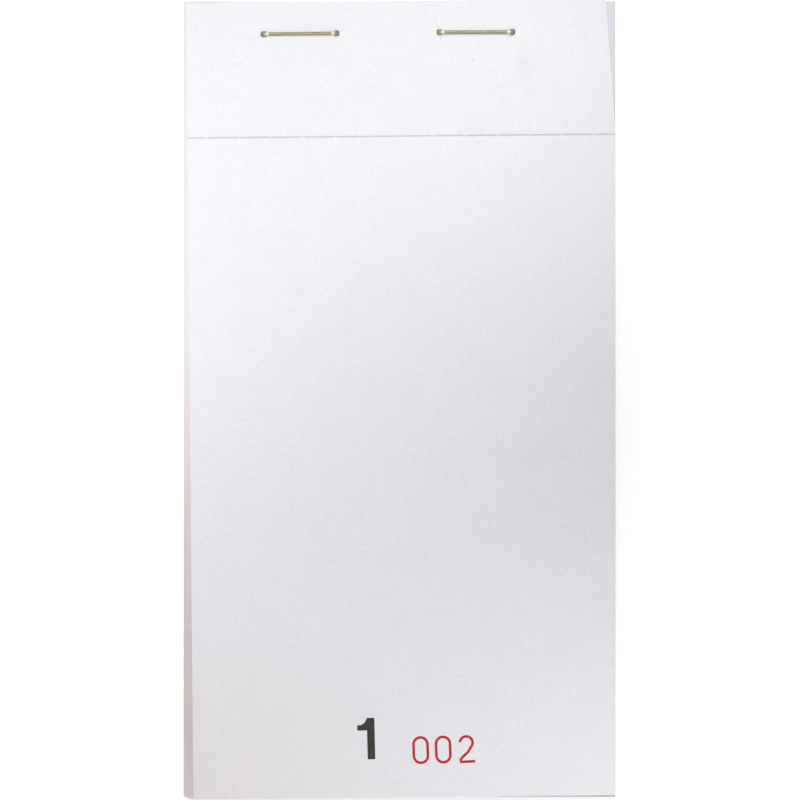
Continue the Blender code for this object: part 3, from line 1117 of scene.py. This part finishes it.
class LowerSheetsOperator(bpy.types.Operator):
    """Lays the sheets of the lower sets, each a little loose on the next"""

    bl_idname = "invoice_book.lower_sheets"
    bl_label = "Lower Sheets"

    def execute(self, context):
        book = context.scene.invoice_book
        papers = paper_materials(book)
        half = book.perforation.slit_width / 2
        for depth in range(len(COPIES), SHEET_COUNT):
            copy = COPIES[depth % len(COPIES)]
            rows = in_order([*leaf_rows(book, depth, -half), *stub_rows(book, depth, half)], CLOSEST_LINES)
            name = f"{copy}_copy_{depth // len(COPIES) + 1:02d}"
            piece = paper_piece(book, name, depth, rows, papers[copy])
            carry(piece, "book", f"{copy}_paper", SHEET_NODES[depth])
        return {"FINISHED"}


class TopSetOperator(bpy.types.Operator):
    """Lays the three stubs of the top set and the leaves beside them"""

    bl_idname = "invoice_book.top_set"
    bl_label = "Top Set"

    def execute(self, context):
        book = context.scene.invoice_book
        papers = paper_materials(book) | {"white": top_copy_material(book)}
        for depth, copy in enumerate(COPIES):
            root = book.perforation.slit_width / 2 if copy in TORN_COPIES else FOLD_GAP
            rows = in_order([FOLD_GAP, *stub_rows(book, depth, root)], CLOSEST_LINES)
            stub = paper_piece(book, f"{copy}_copy_stub", depth, rows, papers[copy])
            carry(stub, "book", f"{copy}_paper", f"{copy}_stub_01")
            rows = in_order([*leaf_rows(book, depth, -root), -FOLD_GAP], CLOSEST_LINES)
            leaf = paper_piece(book, f"{copy}_copy_leaf", depth, rows, papers[copy])
            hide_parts(f"{copy}_leaf_01")
            along = sheet_place(depth).to_3x3() @ Vector((0, -book.paper.bend_length, 0))
            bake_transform(leaf)
        return {"FINISHED"}


class StaplesOperator(bpy.types.Operator):
    """Drives the two wire staples through the stub"""

    bl_idname = "invoice_book.staples"
    bl_label = "Wire Staples"

    def execute(self, context):
        book = context.scene.invoice_book
        material = wire_material(book)
        for side in SIDES:
            carry(staple_piece(book, side, material), "book", "brass_wire", f"staple_{side}")
        return {"FINISHED"}


class NumbersOperator(bpy.types.Operator):
    """Prints the bold figure and the red sheet number at the foot of the top copy"""

    bl_idname = "invoice_book.numbers"
    bl_label = "Printed Numbers"

    def execute(self, context):
        book = context.scene.invoice_book
        ink = book.print
        black = ink_material("black_ink", ink.black, thin=0.03)
        red = ink_material("red_ink", ink.red, thin=0.04)
        outline = one_outline()
        place = on_top_copy(*FIGURE_PLACE, FIGURE_TURN)
        figure = ink_piece(book, "bold_figure", outline, [tuple(range(len(outline)))], place, black)
        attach(figure, "white_leaf")
        width, height = ink.numeral_width - ink.stroke, ink.numeral_height - ink.stroke
        for name, (x, y) in NUMERAL_PLACES.items():
            closed = name.endswith("zero")
            line = zero_line(width, height) if closed else two_line(width, height)
            place = on_top_copy(x, y, NUMERAL_TURN)
            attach(stroke_piece(book, f"red_{name}", line, closed, place, red), "white_leaf")
        return {"FINISHED"}


ROUNDED_EDGES = "rounded_edges"
SAME_POINT = 0.000001
OUTLINE_SHARE = 0.999
ROUNDING_STEPS = 3


def cut_edges_group():
    """Marks the sharp edges along the board's outline, and none at the staples' holes and dents."""
    sockets = {"Board": "Geometry"}
    group, given, out = new_group("board_cut_edges", sockets, sockets, "GeometryNodeTree")
    bend = put(group, "GeometryNodeInputMeshEdgeAngle").outputs["Unsigned Angle"]
    sharp = calc(group, "GREATER_THAN", bend, SHARP_ANGLE)
    ends = put(group, "GeometryNodeInputMeshEdgeVertices").outputs
    middle = vector_calc(group, "ADD", ends["Position 1"], ends["Position 2"])
    outward = vector_calc(group, "MULTIPLY", middle, (1 / BOOK_WIDTH, 1 / BOOK_LENGTH, 0))
    outward = axes(group, vector_calc(group, "ABSOLUTE", outward))
    furthest = calc(group, "MAXIMUM", outward["X"], outward["Y"])
    marked = times(group, sharp, calc(group, "GREATER_THAN", furthest, OUTLINE_SHARE))
    inputs = {"Geometry": given["Board"], "Name": ROUNDED_EDGES, "Value": marked}
    store = put(group, "GeometryNodeStoreNamedAttribute", inputs, data_type="FLOAT", domain="EDGE")
    group.links.new(store.outputs["Geometry"], out["Board"])
    return group


class BoardOperator(bpy.types.Operator):
    """Finishes the back board: rounded cut edges, grey pulp and a white lining"""

    bl_idname = "invoice_book.board"
    bl_label = "Back Board"

    def execute(self, context):
        book = context.scene.invoice_book
        board = frame["nodes"]["back_board"]
        board.data.materials.clear()
        board.data.materials.append(board_material(book))
        weld = board.modifiers.new("joined_corners", "WELD")
        weld.merge_threshold = SAME_POINT
        marking = board.modifiers.new("cut_edges", "NODES")
        marking.node_group = cut_edges_group()
        rounding = board.modifiers.new("rounded_edges", "BEVEL")
        rounding.width = book.board.rounding
        rounding.segments = ROUNDING_STEPS
        rounding.limit_method = "WEIGHT"
        rounding.edge_weight = ROUNDED_EDGES
        return {"FINISHED"}


class StageOperator(bpy.types.Operator):
    """Sets up the floor, the lamps, the even light and the camera above the book"""

    bl_idname = "invoice_book.stage"
    bl_label = "Stage"

    def execute(self, context):
        stage = context.scene.invoice_book.stage
        add_floor(stage)
        for lamp in LAMPS:
            add_lamp(context, stage, *lamp)
        add_sky(context, stage)
        add_camera(context, stage)
        context.scene.view_settings.view_transform = "Standard"
        return {"FINISHED"}


FLOOR_RADII = (0.3, 1.5)
FLOOR_SIDES = 48
FLOOR_DROP = 0.00002


def add_floor(stage):
    """A round floor under the book."""
    turns = [math.tau * side / FLOOR_SIDES for side in range(FLOOR_SIDES)]
    points = [(0, 0, 0)]
    points += [(radius * math.cos(t), radius * math.sin(t), 0) for radius in FLOOR_RADII for t in turns]
    faces = []
    for side in range(1, FLOOR_SIDES + 1):
        ahead = side % FLOOR_SIDES + 1
        faces.append((0, side, ahead))
        faces.append((side, side + FLOOR_SIDES, ahead + FLOOR_SIDES, ahead))
    floor = new_piece("studio_floor", points, faces, floor_material(stage))
    floor.location.z = CAD_BOX[0].z - FLOOR_DROP


# Each lamp's name, where it hangs, the point it is turned to, its size and the degrees it spreads over
LAMPS = (
    ("key", (-0.18, 0.062, 0.323), (-0.097, 0.031, 0), 0.12, 57),
    ("foot", (0.056, -0.062, 0.15), (0.066, -0.146, 0), 0.1, 101),
    ("side", (0.073, 0.153, 0.192), (0.03, 0.062, 0), 0.1, 40),
)


def add_lamp(context, stage, name, place, aim, size, degrees):
    """A soft round lamp."""
    light = bpy.data.lights.new(f"{name}_lamp", "AREA")
    light.shape = "DISK"
    light.size = size
    light.spread = math.radians(degrees)
    light.energy = getattr(stage, f"{name}_power")
    light.color = stage.key_tint if name == "key" else (1, 1, 1)
    lamp = bpy.data.objects.new(f"{name}_lamp", light)
    lamp.location = place
    lamp.visible_camera = False
    lamp.rotation_euler = (Vector(place) - Vector(aim)).to_track_quat("Z", "Y").to_euler()
    context.scene.collection.objects.link(lamp)


def add_sky(context, stage):
    """Even light all round, seen as white by the camera and in the wire."""
    world = bpy.data.worlds.new("studio_sky")
    world.use_nodes = True
    tree = world.node_tree
    strength = scaled(tree, in_picture(tree), 1 - stage.sky, stage.sky)
    background = tree.nodes["Background"]
    background.inputs["Color"].default_value = (1, 1, 1, 1)
    tree.links.new(strength, background.inputs["Strength"])
    context.scene.world = world


def add_camera(context, stage):
    """A long lens straight above the book, with the stitched end at the top of the picture."""
    lens = bpy.data.cameras.new("overhead_camera")
    lens.sensor_width = 36
    lens.lens = lens.sensor_width * stage.camera_height / stage.view_width
    lens.clip_start = 0.01
    camera = bpy.data.objects.new("overhead_camera", lens)
    camera.location = (*stage.view_centre, STACK_TOP + stage.camera_height)
    context.scene.collection.objects.link(camera)
    context.scene.camera = camera


class InvoiceBookPanel(bpy.types.Panel):
    """Lists the steps that dress the book"""

    bl_idname = "VIEW3D_PT_invoice_book"
    bl_label = "Invoice Book"
    bl_space_type = "VIEW_3D"
    bl_region_type = "UI"
    bl_category = "Invoice Book"

    def draw(self, context):
        for operator in OPERATORS:
            self.layout.operator(operator.bl_idname)


PIECE_GROUPS = (PaperSettings, PerforationSettings, StapleSettings, PrintSettings, BoardSettings)
SHEET_OPERATORS = (LowerSheetsOperator, TopSetOperator)
OPERATORS = (*SHEET_OPERATORS, StaplesOperator, NumbersOperator, BoardOperator, StageOperator)
CLASSES = (*PIECE_GROUPS, StageSettings, BookSettings, *OPERATORS, InvoiceBookPanel)


def register():
    for cls in CLASSES:
        bpy.utils.register_class(cls)
    bpy.types.Scene.invoice_book = PointerProperty(type=BookSettings)


def unregister():
    del bpy.types.Scene.invoice_book
    for cls in reversed(CLASSES):
        bpy.utils.unregister_class(cls)


def main():
    register()
    bpy.ops.invoice_book.lower_sheets()
    bpy.ops.invoice_book.top_set()
    bpy.ops.invoice_book.staples()
    bpy.ops.invoice_book.numbers()
    bpy.ops.invoice_book.board()
    bpy.ops.invoice_book.stage()


if __name__ == "__main__":
    main()
